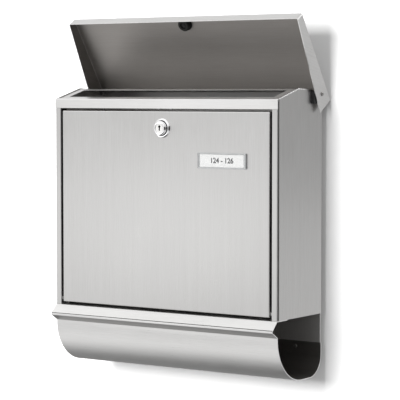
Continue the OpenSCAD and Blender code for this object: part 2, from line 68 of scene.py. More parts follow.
sheet = 1.0
frame_lo, frame_hi = plane("front_frame")
door_lo, door_hi = plane("door_panel")
shell_lo, shell_hi = plane("casing_shell")
inlet_lo, inlet_hi = plane("inlet_panel")
tube_lo, tube_hi = plane("newspaper_tube")
x_side, y_front, y_rear, z_foot = frame_hi[0], frame_lo[1], shell_hi[1], frame_lo[2]
z_head = inlet_lo[2] + 13.0
print(f"half width {x_side:.1f}, front {y_front:.1f}, rear {y_rear:.1f}, foot {z_foot:.1f}, head {z_head:.1f}")

# %% [markdown]
# A bend in sheet metal is never sharp: the outside runs round a small arc. Each inner corner of a
# path is swapped for an arc that starts and ends on the straight parts. A short extra step beside
# each arc keeps the flat faces flat when the shading is smoothed.

# %% Paths with rounded bends


def bent(corners, radii, steps=7, lead=0.25):
    """Path through the corners with an arc at each inner one. With the directions a and b before
    and after a corner and the turn angle between them, the arc starts at corner - a * r * tan(turn / 2)
    and its point at angle t is start + r * (sin(t) * a + (1 - cos(t)) * the side it turns to)."""
    c = np.asarray(corners, float)
    r = np.broadcast_to(np.asarray(radii, float), len(c) - 2)
    d = np.diff(c, axis=0)
    d /= np.linalg.norm(d, axis=1)[:, None]
    a, b = d[:-1], d[1:]
    turn = np.arctan2(a[:, 0] * b[:, 1] - a[:, 1] * b[:, 0], (a * b).sum(1))
    side = np.stack([-a[:, 1], a[:, 0]], 1) * np.sign(turn)[:, None]
    reach = r * np.tan(abs(turn) / 2)
    start, end = c[1:-1] - a * reach[:, None], c[1:-1] + b * reach[:, None]
    t = abs(turn)[:, None] * np.linspace(0, 1, steps + 1)
    arc = start[:, None] + r[:, None, None] * (
        np.sin(t)[..., None] * a[:, None] + (1 - np.cos(t))[..., None] * side[:, None]
    )
    run = np.concatenate([(start - a * lead)[:, None], arc, (end + b * lead)[:, None]], 1)
    return np.concatenate([c[:1], run.reshape(-1, 2), c[-1:]])


def along(path):
    """Distance walked from the path's start to each of its points."""
    return np.concatenate([[0.0], np.cumsum(np.linalg.norm(np.diff(path, axis=0), axis=1))])


def with_stops(path, column, values):
    """The path with extra points where one of its coordinates passes the given values."""
    p = np.asarray(path, float)
    for value in values:
        low, high = p[:-1, column], p[1:, column]
        hit = np.flatnonzero((low - value) * (high - value) < 0)
        t = ((value - low[hit]) / (high[hit] - low[hit]))[:, None]
        p = np.insert(p, hit + 1, p[hit] * (1 - t) + p[hit + 1] * t, axis=0)
    return p


print("points in a path with two bends:", len(bent([(0, 0), (0, 10), (10, 10), (10, 0)], 1.5)))

# %% [markdown]
# A mesh is a list of points and a list of faces. A grid of points gives its faces by pure
# counting, so whole arrays go into Blender at once. Each sheet also gets a UV map called grain:
# U runs along the brushing of the steel and V across it, both in metres.

# %% From arrays to meshes


def quads(rows, cols, around=False):
    """Faces of a grid of rows x cols points: each one joins a point, the next in its row, and the two above."""
    i = np.arange(rows * cols).reshape(rows, cols)
    if around:
        i = np.concatenate([i, i[:, :1]], axis=1)
    return np.stack([i[:-1, :-1], i[:-1, 1:], i[1:, 1:], i[1:, :-1]], -1).reshape(-1, 4)


def new_mesh(name, points, faces, uv=None, finishes=None):
    """Object at the origin whose points are given in millimetres, with an optional grain map and an
    optional number for each face's finish."""
    mesh = bpy.data.meshes.new(name)
    mesh.from_pydata((np.asarray(points, float).reshape(-1, 3) * 0.001).tolist(), [], [list(f) for f in faces])
    if uv is not None:
        corner = np.zeros(len(mesh.loops), np.int32)
        mesh.loops.foreach_get("vertex_index", corner)
        layer = mesh.uv_layers.new(name="grain")
        layer.data.foreach_set("uv", (np.asarray(uv, float).reshape(-1, 2)[corner] * 0.001).ravel())
    if finishes is not None:
        for _ in range(3):
            mesh.materials.append(None)
        mesh.polygons.foreach_set("material_index", np.asarray(finishes, np.int32))
    obj = bpy.data.objects.new(name, mesh)
    bpy.context.scene.collection.objects.link(obj)
    return obj


def settle(obj, smooth=40):
    """Applies the object's modifiers and smooths its shading up to the given angle."""
    bpy.context.view_layer.update()
    shaped = bpy.data.meshes.new_from_object(obj.evaluated_get(bpy.context.evaluated_depsgraph_get()))
    obj.modifiers.clear()
    old, obj.data = obj.data, shaped
    bpy.data.meshes.remove(old)
    shaped.name = obj.name
    shaped.polygons.foreach_set("use_smooth", np.ones(len(shaped.polygons), bool))
    shaped.set_sharp_from_angle(angle=radians(smooth))
    return obj


def close_up(obj, weld=0.001):
    """Merges points that lie together and turns every face of a closed piece outwards."""
    b = bmesh.new()
    b.from_mesh(obj.data)
    bmesh.ops.remove_doubles(b, verts=b.verts, dist=weld * 0.001)
    bmesh.ops.dissolve_degenerate(b, dist=weld * 0.0002, edges=b.edges)
    bmesh.ops.recalc_face_normals(b, faces=b.faces)
    b.to_mesh(obj.data)
    b.free()
    return obj


def report(obj):
    """Prints a piece's size, whether it is closed, and its number of faces."""
    b = bmesh.new()
    b.from_mesh(obj.data)
    size = [round(s * 1000, 1) for s in obj.dimensions]
    gaps = sum(1 for e in b.edges if not e.is_manifold)
    volume = b.calc_volume(signed=True) * 1e9
    print(f"{obj.name}: {size} mm, {len(b.faces)} faces, open edges {gaps}, volume {volume:.0f} mm3")
    b.free()


# %% [markdown]
# Folding one sheet: the path is the sheet seen from its end, and the sheet keeps to the left of
# the path. Solidify then gives the metal its thickness on that side, with a second material on the
# cut edges, and a narrow bevel breaks the sharp edge as a deburring tool does.

# %% Fold a sheet
CARRY = {"x": (1, 2, 0), "y": (0, 2, 1), "z": (0, 1, 2)}


def sheet_grid(path, stops, axis):
    """Points path(v) + stop(u) along the axis, as an array of len(path) x len(stops) points,
    and the grain map: distance along the axis, distance along the path."""
    n, k = len(path), len(stops)
    points = np.zeros((n, k, 3))
    a, b, c = CARRY[axis]
    points[..., a], points[..., b] = path[:, None, 0], path[:, None, 1]
    points[..., c] = np.asarray(stops, float)[None, :]
    uv = np.stack(np.broadcast_arrays(np.asarray(stops, float)[None, :], along(path)[:, None]), -1)
    return points, uv


def plate_faces(rows, cols, keep=None):
    """Faces of a sheet, facing to the right of its path, without those that keep leaves out."""
    faces = quads(rows, cols)[:, ::-1]
    return faces if keep is None else faces[np.asarray(keep).ravel()]


def give_thickness(obj, thickness=sheet, chamfer=0.12, holes=None, slots=3):
    """Thickens a sheet to the left of its path, cuts its holes and breaks its edges. Each finish takes
    three slots: outer face, cut edge, inner face."""
    solid = obj.modifiers.new("thickness", "SOLIDIFY")
    solid.thickness, solid.offset, solid.use_even_offset = thickness * 0.001, -1.0, True
    solid.use_quality_normals, solid.material_offset_rim, solid.material_offset = True, 1, 2
    for _ in range(slots):
        obj.data.materials.append(None)
    if holes is not None:
        drill = obj.modifiers.new("holes", "BOOLEAN")
        drill.operation, drill.solver, drill.object = "DIFFERENCE", "EXACT", holes
    if chamfer:
        edge = obj.modifiers.new("edges", "BEVEL")
        edge.width, edge.segments, edge.limit_method = chamfer * 0.001, 1, "ANGLE"
        edge.angle_limit, edge.use_clamp_overlap = radians(60), True
    settle(obj)
    if holes is not None:
        bpy.data.objects.remove(holes)
    return obj


def join(name, *objs):
    """Joins finished meshes into one piece."""
    base = objs[0]
    b = bmesh.new()
    for o in objs:
        b.from_mesh(o.data)
    b.to_mesh(base.data)
    b.free()
    for o in objs[1:]:
        bpy.data.objects.remove(o)
    base.name = base.data.name = name
    return base


print("carries:", CARRY)

# %% [markdown]
# The newspaper tube is one long sheet. It starts as a flap under the compartment, falls to a
# ridge, folds back, and then rolls round a quarter circle and up the wall. Its path is written
# from the same points a sheet-metal drawing would give.

# %% Newspaper tube


def arc(centre, radius, start, end, steps):
    """Points centre + radius * (cos t, sin t) with t from start to end, in degrees."""
    t = np.radians(np.linspace(start, end, steps + 1))
    return np.asarray(centre, float) + radius * np.stack([np.cos(t), np.sin(t)], 1)


def folded_tube():
    """Closed sheet whose path is flap, ridge with a narrow upright nose, fold, quarter circle of radius
    61.2, floor, and a second quarter circle of radius 30 that ends against the wall side."""
    nose = (tube_lo[1], z_foot - 12.3)
    front = bent([(y_front + 26, z_foot), (y_front, z_foot), nose, (nose[0], nose[1] - 2.4),
                  (y_front + 0.8, z_foot - 22.5), (y_front + 0.8, z_foot - 25.0)], [2.0, 0.7, 0.7, 2.2])[:-1]
    roll = arc((y_front + 62.0, z_foot - 23.9), 61.2, 180, 270, 36)
    heel = arc((y_rear - 31.0, z_foot - 55.1), 30.0, 270, 360, 20)
    path = np.concatenate([front, roll[1:], heel, [(y_rear - 1.0, tube_hi[2] - 40.1)]])
    points, uv = sheet_grid(path, np.linspace(-x_side, x_side, 9), "x")
    y, z = ((path[1:] + path[:-1]) / 2).T
    # The faces under the ridge fold take finish 3, a darker steel that is painted shade.
    underside = (y < y_front + 1.5) & (z < z_foot - 14.9) & (z > z_foot - 22.6)
    finishes = np.repeat(np.where(underside, 3, 0), 8)
    return give_thickness(new_mesh("tube_sheet", points, plate_faces(len(path), 9), uv, finishes), slots=6)


tube = folded_tube()
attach(tube, "casing")
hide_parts("newspaper_tube")
report(tube)
print("frame tube from", tube_lo.round(1), "to", tube_hi.round(1))

# %% [markdown]
# The casing is a U of sheet seen from above: side panel, back panel, side panel. The front edges
# step in behind the frame and leave a dark groove. Its height isn't the same everywhere, so the
# top of each column of points follows the slope of the roof.

# %% Casing shell
y_ridge, roof_pitch, rear_pitch = y_front + 53.0, 14.6 / 53.0, 3.0 / 61.0
wall_screws = [(sx * 130.0, sz * 100.0) for sx in (-1, 1) for sz in (-1, 1)]


def edge_height(y):
    """Height of the side panels' top edge: it climbs to the ridge and falls a little behind it."""
    return np.where(y < y_ridge, z_head + (y - y_front) * roof_pitch, z_head + 14.6 - (y - y_ridge) * rear_pitch)


def pins_along(axis, places, radius, low, high, steps=32):
    """Round bars for drilling, one at each place, as one mesh: circle points at a low and a high station."""
    t = np.linspace(0, 2 * pi, steps, endpoint=False)
    ring = np.stack([np.cos(t), np.sin(t)], 1) * radius
    a, b, c = CARRY[axis]
    points = np.zeros((len(places), 2, steps, 3))
    points[..., a] = np.asarray(places, float)[:, 0, None, None] + ring[None, None, :, 0]
    points[..., b] = np.asarray(places, float)[:, 1, None, None] + ring[None, None, :, 1]
    points[..., c] = np.array([low, high])[None, :, None]
    side = quads(2, steps, around=True)
    ends = np.array([np.arange(steps), np.arange(steps)[::-1] + steps])
    faces = [f + n * 2 * steps for n in range(len(places)) for f in [*side, *ends]]
    return close_up(new_mesh("drill", points, faces))


def casing_sheet():
    """Path round the plan of the casing, carried up to the height that each point's depth gives;
    the back panel alone also runs on down behind the tube."""
    step = x_side - 1.4
    corners = [(step, y_front + 1), (step, y_front + 3.4), (x_side, y_front + 4.8), (x_side, y_rear),
               (-x_side, y_rear), (-x_side, y_front + 4.8), (-step, y_front + 3.4), (-step, y_front + 1)]
    path = with_stops(bent(corners, [0.6, 1.2, 1.8, 1.8, 1.2, 0.6], lead=0.05), 1, [y_ridge, y_ridge - 40])
    x, y = path.T
    back = abs(x) < x_side - 1.82
    top = np.where((abs(x) < x_side - 1.0) & (y > y_ridge), shell_back_top, edge_height(y))
    top = np.where(y < y_front + 4.8, z_head - 2, top)
    heights = np.stack([np.full(len(x), shell_lo[2]), np.full(len(x), z_foot), (z_foot + top) / 2, top], 1)
    points = np.zeros((len(x), 4, 3))
    points[..., 0], points[..., 1], points[..., 2] = x[:, None], y[:, None], heights
    uv = np.stack([heights, np.broadcast_to(along(path)[:, None], heights.shape)], -1)
    keep = np.ones((len(x) - 1, 3), bool)
    keep[:, 0] = back[:-1] & back[1:]
    shell = new_mesh("casing_sheet", points, plate_faces(len(x), 4, keep), uv)
    loose = bmesh.new()
    loose.from_mesh(shell.data)
    bmesh.ops.delete(loose, geom=[v for v in loose.verts if not v.link_faces], context="VERTS")
    loose.to_mesh(shell.data)
    loose.free()
    return give_thickness(shell, chamfer=0.3, holes=pins_along("y", wall_screws, 3.5, y_rear - 5, y_rear + 5))


shell_back_top = float(edge_height(np.array(y_rear))) - 1.8
casing = casing_sheet()
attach(casing, "casing")
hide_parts("casing_shell")
report(casing)

# %% [markdown]
# The side panels' top edges are rolled into a narrow hem, as a tinsmith closes an edge that
# hands will touch. The hem is a small round carried along the slope, and it catches the light.

# %% Rolled hems


def hem(side, radius=1.5, steps=20):
    """Circle of the radius about a line that follows the edge: x = side * (x_side - radius + 0.1) + r cos t,
    y along the edge, z = edge_height(y) - 1.0 + r sin t."""
    y = np.array([y_front + 1.3, y_front + 20, y_ridge - 3, y_ridge - 1,
                  y_ridge + 1, y_ridge + 3, y_rear - 20, y_rear - 1.5])
    t = np.linspace(0, 2 * pi, steps, endpoint=False)
    points = np.zeros((len(y), steps, 3))
    points[..., 0] = side * (x_side - radius + 0.1 + radius * np.cos(t))
    points[..., 1] = y[:, None]
    points[..., 2] = (edge_height(y) - 1.0)[:, None] + radius * np.sin(t)
    faces = [*quads(len(y), steps, around=True), np.arange(steps), np.arange(steps)[::-1] + (len(y) - 1) * steps]
    uv = np.stack(np.broadcast_arrays(y[:, None], radius * t[None, :]), -1)
    return close_up(new_mesh("hem", points, faces, uv))


hems = join("rolled_hems", hem(-1), hem(1))
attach(hems, "casing")
settle(hems)
report(hems)

# %% [markdown]
# The roof and the header band: the roof sheet runs from a flange on the back panel over the
# ridge to the front, and the letter inlet is a plain window in its slope. The header band is as
# wide as the whole box and is folded over the roof's front edge.

# %% Roof with the letter inlet, and header band


def inlet_sheets():
    """Two sheets carried across: the roof, with the faces between the inlet's edges left out, and the band."""
    at = lambda y: float(edge_height(np.array(y))) - 0.8
    y_flange, y_nose = y_rear - sheet, y_front + 1.9
    slot_y = (y_front + 13.0, y_front + 47.0)
    corners = [(y_flange, at(y_rear) - 12), (y_flange, at(y_rear)), (y_ridge, at(y_ridge)), (y_nose, at(y_nose))]
    roof_path = with_stops(bent(corners, [1.5, 4.0]), 0, slot_y)
    x_slot, x_roof = x_side - 14.5, x_side - 1.2
    stops = np.array([-x_roof, -x_slot, 0, x_slot, x_roof])
    middle = (roof_path[:-1, 0] + roof_path[1:, 0]) / 2
    in_slot = (middle > slot_y[0]) & (middle < slot_y[1]) & (roof_path[:-1, 1] > z_head)
    keep = ~(in_slot[:, None] & np.array([False, True, True, False])[None, :])
    points, uv = sheet_grid(roof_path, stops, "x")
    roof = give_thickness(new_mesh("roof", points, plate_faces(len(roof_path), 5, keep), uv))
    y_band = inlet_lo[1]
    run = y_front + 3.4 - y_band
    band_path = bent([(y_front + 3.4, z_head + run * roof_pitch), (y_band, z_head), (y_band, inlet_lo[2])], [1.3])
    points, uv = sheet_grid(band_path, [-x_side - 0.5, 0, x_side + 0.5], "x")
    return join("inlet_sheets", roof, give_thickness(new_mesh("band", points, plate_faces(len(band_path), 3), uv)))


inlet = inlet_sheets()
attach(inlet, "casing")
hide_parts("inlet_panel")
report(inlet)

# %% [markdown]
# The front frame: two narrow stiles, each a small channel with its inner leg beside the door, and
# an angle that carries the lock's keeper behind the header band.

# %% Front frame


def mirrored(path):
    """The same path on the other side of the middle, walked the other way so that the sheet stays to its left."""
    return np.asarray(path)[::-1] * [-1, 1]


def frame_sheets():
    """Channels carried upwards for the stiles, and an angle carried across for the top rail."""
    x_in = x_side - 8.8
    stile = bent([(x_in, y_front + 15), (x_in, y_front), (x_side, y_front), (x_side, y_front + 1.3)],
                 [1.1, 1.1], lead=0.1)
    made = []
    for path in (stile, mirrored(stile)):
        points, uv = sheet_grid(path, [z_foot, 0, inlet_lo[2] - 0.1], "z")
        made.append(give_thickness(new_mesh("stile", points, plate_faces(len(path), 3), uv)))
    rail = bent([(y_front + 0.6, z_head - 2), (y_front + 0.6, z_head - 13), (y_front + 14.0, z_head - 13)], [1.1])
    points, uv = sheet_grid(rail, [-x_in - 1, 0, x_in + 1], "x")
    made.append(give_thickness(new_mesh("rail", points, plate_faces(len(rail), 3), uv)))
    return join("frame_sheets", *made)


front = frame_sheets()
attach(front, "casing")
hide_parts("front_frame")
report(front)

# %% [markdown]
# Thin black strips line the frame: on its inner legs beside the door, on the leg behind the
# gap under the door, and in the groove between frame and side panels; one more runs along the
# tube's front just above its ridge. They are foam seals that keep rain out, and their black is also
# painted shade: they make the gaps and that line look black and not grey.

# %% Sealing strips


def rounded_ring(a, b, radius, steps=6):
    """Rounded rectangle of half sizes a and b: each corner is an arc of the radius about a point that
    lies the radius inside both edges."""
    t = np.radians(np.linspace(0, 90, steps + 1))
    quarter = np.stack([np.cos(t), np.sin(t)], 1) * radius
    right = quarter + [a - radius, b - radius]
    return np.concatenate([right, quarter[::-1] * [-1, 1] + [radius - a, b - radius],
                           -quarter + [radius - a, radius - b], quarter[::-1] * [1, -1] + [a - radius, radius - b]])


def strip(name, low, high):
    """Straight strip that fills the box from low to high, with its long edges slightly rounded."""
    low, high = np.asarray(low, float), np.asarray(high, float)
    long = int(np.argmax(high - low))
    a, b = [i for i in range(3) if i != long]
    mid, half = (low + high) / 2, (high - low) / 2
    soft = 0.3 * min(half[a], half[b])
    ring = rounded_ring(half[a], half[b], soft, 2)
    points = np.zeros((2, len(ring), 3))
    points[..., a], points[..., b] = ring[:, 0] + mid[a], ring[:, 1] + mid[b]
    points[0, :, long], points[1, :, long] = low[long], high[long]
    n = len(ring)
    made = new_mesh(name, points.reshape(-1, 3), [*quads(2, n, around=True), np.arange(n), np.arange(n)[::-1] + n])
    return close_up(made)


z_gap_strips = (z_foot + 18, inlet_lo[2] - 1)
gap_strips = []
for s in (-1, 1):
    leg = sorted((s * (x_side - 8.8), s * (x_side - 9.3)))
    groove = sorted((s * (x_side - 1.35), s * (x_side - 0.3)))
    gap_strips.append(strip("gap_strip_piece", (leg[0], y_front + 1.6, z_gap_strips[0]), (leg[1], y_front + 13, z_gap_strips[1])))
    gap_strips.append(strip("gap_strip_piece", (groove[0], y_front + 1.35, z_foot + 1), (groove[1], y_front + 4.1, z_head - 2.5)))
gap_strips.append(strip("gap_strip_piece", (-x_side + 12, y_front + 14.0, z_foot + 0.5), (x_side - 12, y_front + 15.0, z_foot + 5.5)))
# Black strip along the tube's front just above the ridge: painted shade for the thin dark line there.
gap_strips.append(strip("gap_strip_piece", (-x_side + 0.3, tube_lo[1] + 0.26, z_foot - 11.75),
                   (x_side - 0.3, tube_lo[1] + 1.2, z_foot - 11.15)))
gap_strips = join("dark_gap_strips", *gap_strips)
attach(gap_strips, "casing")
settle(gap_strips)
report(gap_strips)

# %% [markdown]
# Two sheets that are seen only with the door open: the floor, with the leg that closes the front
# under the door, and the guard that lets letters fall in but not be pulled out.

# %% Floor and letter guard


def carried(name, corners, radii, x_end):
    """One bent sheet carried across from -x_end to x_end."""
    path = bent(corners, radii)
    points, uv = sheet_grid(path, [-x_end, 0, x_end], "x")
    return give_thickness(new_mesh(name, points, plate_faces(len(path), 3), uv))


y_in, z_floor = y_rear - 2 * sheet, z_foot + 6
floor_sheet = carried("floor_sheet", [(y_in, z_floor + 12), (y_in, z_floor), (y_front + 15, z_floor),
                                      (y_front + 15, z_foot), (y_front + 30, z_foot)], [1.3, 1.3, 1.3], x_side - 1.2)
guard_top = z_head - 42
guard_sheet = carried("guard_sheet", [(y_in, guard_top), (y_in, guard_top - 16), (y_in - 34, guard_top - 36),
                                      (y_in - 36, guard_top - 44)], [2.0, 2.5], x_side - 22)
for piece, node in ((floor_sheet, "floor_panel"), (guard_sheet, "letter_guard")):
    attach(piece, "casing")
    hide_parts(node)
    report(piece)

# %% [markdown]
# The door is a shallow pan: all four edges are folded back and its corners are closed. A pan is
# one profile carried round a rounded rectangle. Each ring of points is the same rectangle, drawn
# in by a distance and set back by a depth.

# %% Door pan


def ring_stack(a, b, corner, profile, steps=6):
    """Rings of half sizes a - inset and b - inset at each depth of the profile, as (rings, points, 3)
    with the depth last."""
    rings = [np.column_stack([rounded_ring(a - inset, b - inset, max(corner - inset, 0.15), steps),
                              np.full(4 * steps + 4, depth)]) for inset, depth in profile]
    return np.array(rings)


def capped(name, stack, turn=None, finishes=None):
    """Closed piece from a stack of rings: quads between the rings and one flat face at each end.
    turn carries (across, up, depth) into (x, y, z)."""
    rings, n = stack.shape[:2]
    faces = [*quads(rings, n, around=True), np.arange(n), np.arange(n)[::-1] + (rings - 1) * n]
    flat = stack.reshape(-1, 3)
    uv = np.stack([flat[:, 1] + flat[:, 2] * 0.31, flat[:, 0] + flat[:, 2] * 0.27], 1)
    return close_up(new_mesh(name, flat if turn is None else turn(flat), faces, uv, finishes), weld=0.0005)


def door_pan():
    """Profile: front face, bend, edge fold, bend, rear lip, then the same way back inside the metal."""
    a, b = (door_hi[0] - door_lo[0]) / 2, (door_hi[2] - door_lo[2]) / 2
    mid_x, mid_z = (door_hi[0] + door_lo[0]) / 2, (door_hi[2] + door_lo[2]) / 2
    deep = door_hi[1] - door_lo[1]
    outer = bent([(40, 0), (0, 0), (0, deep), (8, deep)], [1.5, 1.5])
    inner = bent([(40, sheet), (sheet, sheet), (sheet, deep - sheet), (8, deep - sheet)], [0.5, 0.5])
    profile = np.concatenate([outer, inner[::-1]])
    stack = ring_stack(a, b, 1.7, profile)
    turn = lambda p: np.column_stack([p[:, 0] + mid_x, p[:, 2] + y_front, p[:, 1] + mid_z])
    n = stack.shape[1]
    finishes = np.repeat([0, 1, 2], [n * (len(outer) - 1), n, n * (len(inner) - 1)])
    return settle(capped("door_sheet", stack, turn, finishes=np.concatenate([finishes, [0, 2]])))


door = door_pan()
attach(door, "door")
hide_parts("door_panel")
report(door)

# %% [markdown]
# The lid is a tray with three sides: a lip along the front and two flanges that get deeper
# towards the hinge. It is drawn lying level about its hinge axis and then turned up to the angle
# at which it stands, with the two lines of a rotation matrix.

# %% Rain lid
hinge = np.array([0.0, y_rear - 12.0, z_head + 7.0])
lid_angle = radians(-57.0)
lid_front, lid_half_width = -118.0, 191.5


def stand_open(p):
    """Turns points about the hinge axis: y' = y cos - z sin, z' = y sin + z cos, then moves them to the hinge."""
    p = np.asarray(p, float)
    c, s = np.cos(lid_angle), np.sin(lid_angle)
    return np.stack([p[..., 0], p[..., 1] * c - p[..., 2] * s, p[..., 1] * s + p[..., 2] * c], -1) + hinge


def lid_tray():
    """Rings from the middle of the top over the bend and down the sides. Ring points run from the rear
    left round the front to the rear right; a side's depth grows from 14 at the front to 33 at the rear."""
    a, front_y, tail, top, corner = lid_half_width, lid_front, 19.0, 15.0, 2.6
    outer = bent([(30, 0), (0, 0), (0, 14)], [1.8])
    inner = bent([(30, sheet), (sheet, sheet), (sheet, 14)], [0.8])
    t = np.radians(np.linspace(0, 90, 8))

    def ring(inset, drop, share):
        r = max(corner - inset, 0.1)
        w, f = a - inset, front_y + inset
        left = np.stack([-w + r - r * np.cos(t), f + r - r * np.sin(t)], 1)
        rear = tail - 3.0 + np.clip(drop, 0, 3)
        side = np.linspace(rear, f + r + 0.3, 6)[:, None]
        half = np.concatenate([np.concatenate([np.full((6, 1), -w), side], 1), left, [[0.0, f]]])
        xy = np.concatenate([half, (half[:-1] * [-1, 1])[::-1]])
        deep = 14.0 + np.clip((xy[:, 1] - front_y) / (tail - front_y), 0, 1) * 19.0
        z = top - (drop + (deep - 14.0) * share)
        return np.column_stack([xy, z])

    shares = lambda path: np.clip((path[:, 1] - 3.0) / 11.0, 0, 1)
    build = lambda path: np.array([ring(p[0], p[1], s) for p, s in zip(path, shares(path))])
    stops = with_stops(outer, 1, [5.0, 9.0]), with_stops(inner, 1, [5.0, 9.0])
    over, under = build(stops[0]), build(stops[1])
    m, n = over.shape[:2]
    both = np.concatenate([over, under[::-1]])
    index = np.arange(2 * m * n).reshape(2 * m, n)
    ends = [np.stack([index[:m - 1, k], index[1:m, k], index[::-1][1:m, k], index[::-1][:m - 1, k]], 1)
            for k in (0, n - 1)]
    faces = [*quads(2 * m, n), *ends[0], *ends[1], index[0], index[-1][::-1],
             [index[0, 0], index[0, -1], index[-1, -1], index[-1, 0]]]
    flat = both.reshape(-1, 3)
    uv = np.column_stack([flat[:, 0] + flat[:, 2] * 0.02, flat[:, 1] - flat[:, 2]])
    finishes = np.repeat([0, 1, 2, 1, 0, 2, 1], [(m - 1) * (n - 1), n - 1, (m - 1) * (n - 1), 2 * (m - 1), 1, 1, 1])
    return settle(close_up(new_mesh("lid_sheet", stand_open(flat), faces, uv, finishes), weld=0.0005))


lid = lid_tray()
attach(lid, "lid")
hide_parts("lid_panel")
report(lid)
print("frame lid:", [v.round(1).tolist() for v in plane("lid_panel")])

# %% [markdown]
# Turned parts - the lock, the rubber buffer, pins, rivets and spacers - come off a lathe, so each
# one is a half profile swept round an axis. Where a profile starts and ends on the axis, its
# pole points are merged so that the piece is closed.

# %% Turn a profile


def turned(name, profile, place, steps=48, ring=False):
    """Closed piece with points (r cos t, r sin t, h) for each (r, h) of the profile and t from 0 to 360
    degrees. place carries them to where they belong; a ring's profile also joins its end to its start."""
    p = np.asarray(profile, float)
    if ring:
        p = np.concatenate([p, p[:1]])
    t = np.linspace(0, 2 * pi, steps, endpoint=False)
    points = np.stack([p[:, :1] * np.cos(t), p[:, :1] * np.sin(t), np.broadcast_to(p[:, 1:], (len(p), steps))], -1)
    faces = quads(len(p), steps, around=True)
    piece = new_mesh(name, place(points.reshape(-1, 3)), faces)
    return settle(close_up(piece, weld=0.0005), smooth=38)


def facing(axis, at):
    """Carries a turned part drawn along its own height so that the height runs along -y, x, -x or z from a point."""
    rows = {"-y": lambda p: [p[:, 0], -p[:, 2], p[:, 1]], "x": lambda p: [p[:, 2], p[:, 0], p[:, 1]],
            "-x": lambda p: [-p[:, 2], -p[:, 0], p[:, 1]], "z": lambda p: [p[:, 0], p[:, 1], p[:, 2]]}[axis]
    return lambda p: np.column_stack(rows(p)) + np.asarray(at, float)


print("the height of a part turned to -y ends at", facing("-y", (0, 0, 0))(np.array([[0.0, 0.0, 5.0]]))[0])

# %% [markdown]
# The lock: a polished escutcheon with a dished rim, a head that stands proud of it, and a plug
# with the keyway. The keyway is cut from the plug with a boolean, as a broach cuts the real one.

# %% Lock
lock_lo, lock_hi = plane("lock_housing")
plug_lo, plug_hi = plane("lock_plug")
z_lock = (lock_lo[2] + lock_hi[2]) / 2
ring_r, head_r, barrel_r, plug_r = (lock_hi[0] - lock_lo[0]) / 2, 9.7, 8.0, 6.0
head_up, barrel_end = y_front - lock_lo[1], y_front - lock_hi[1]
at_lock = facing("-y", (0, y_front, z_lock))

escutcheon = turned("lock_ring", np.concatenate([
    [(plug_r + 0.06, barrel_end), (barrel_r, barrel_end), (barrel_r, 0.02), (ring_r - 0.15, 0.02), (ring_r, 0.17)],
    arc((ring_r - 0.4, 0.6), 0.4, 0, 40, 3), arc((ring_r - 1.75, 1.85), 0.4, 50, 90, 3),
    [(head_r + 1.15, 2.25), (head_r + 1.0, 2.1), (head_r + 1.0, 1.3), (head_r, 1.3)],
    arc((head_r - 0.3, head_up - 1.4), 0.3, 0, 40, 3), arc((head_r - 1.25, head_up - 0.3), 0.3, 50, 90, 3),
    arc((plug_r + 1.0, head_up - 0.25), 0.25, 90, 180, 3),
    [(plug_r + 0.75, head_up - 1.8), (plug_r + 0.06, head_up - 2.0)]]), at_lock, steps=96, ring=True)
# A black rubber ring in the groove between the head and the rim; its black is also painted shade in that groove.
groove_shade_ring = turned("lock_groove_ring_painted_shade", [
    (head_r + 0.05, 1.35), (head_r + 0.95, 1.35), (head_r + 0.95, 1.75), (head_r + 0.8, 1.9),
    (head_r + 0.15, 1.9), (head_r + 0.05, 1.75)], at_lock, steps=96, ring=True)
face = y_front - plug_lo[1]
plug = turned("lock_plug_turned", [(0, barrel_end - 7), (3, barrel_end - 7), (3, barrel_end), (plug_r, barrel_end),
                                   (plug_r, face - 0.35), (plug_r - 0.35, face), (0, face)], at_lock, steps=64)
keyway = capped("keyway", ring_stack(1.0, 3.4, 0.3, [(0, face - 9), (0, face + 1)], 2), at_lock)
key_eye = turned("key_eye", [(0, face - 9), (1.9, face - 9), (1.9, face + 1), (0, face + 1)],
                 facing("-y", (0, y_front, z_lock + 2.2)), steps=24)
plug.data.materials.append(None)
plug.data.materials.append(None)
# The cutters' faces take the second slot, so the inside of the keyway turns black: painted shade in its hollow.
for cutter in (keyway, key_eye):
    cutter.data.materials.append(None)
    cutter.data.materials.append(None)
    cutter.data.polygons.foreach_set("material_index", np.ones(len(cutter.data.polygons), int))
    cut = plug.modifiers.new("cut", "BOOLEAN")
    cut.operation, cut.solver, cut.object = "DIFFERENCE", "EXACT", cutter
settle(plug, smooth=38)
for cutter in (keyway, key_eye):
    bpy.data.objects.remove(cutter)
for piece, node, body in ((escutcheon, "lock_housing", "door"), (plug, "lock_plug", "lock")):
    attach(piece, body)
    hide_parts(node)
    report(piece)
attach(groove_shade_ring, "door")
report(groove_shade_ring)

# %% [markdown]
# The name plate: a moulded holder with a raised rim, a paper card, and a clear window that
# clicks in over it. The card carries a plain house number.

# %% Name plate
plate_lo, plate_hi = plane("plate_holder")
card_lo, card_hi = plane("name_card")
pane_lo, pane_hi = plane("plate_window")
plate_x, plate_z = (plate_lo[0] + plate_hi[0]) / 2, (plate_lo[2] + plate_hi[2]) / 2
proud = y_front - plate_lo[1]
on_plate = facing("-y", (plate_x, y_front, plate_z))
half_w, half_h = (plate_hi[0] - plate_lo[0]) / 2, (plate_hi[2] - plate_lo[2]) / 2
seat = y_front - card_hi[1] - 0.05
holder = settle(capped("holder_rim", ring_stack(half_w, half_h, 1.4, np.concatenate([
    [(0.0, 0.02)], arc((0.55, proud - 0.55), 0.55, 180, 90, 4), arc((1.25, proud - 0.35), 0.35, 90, 0, 3),
    [(1.6, seat)]])), on_plate))
peg_profile = [(0, -4), (1.2, -4), (1.5, -3.6), (1.5, 0.3), (0, 0.3)]
pegs = [turned("peg", peg_profile, facing("-y", (plate_x + s * 30.0, y_front, plate_z)), 20) for s in (-1, 1)]
holder = join("plate_holder_moulded", holder, *pegs)
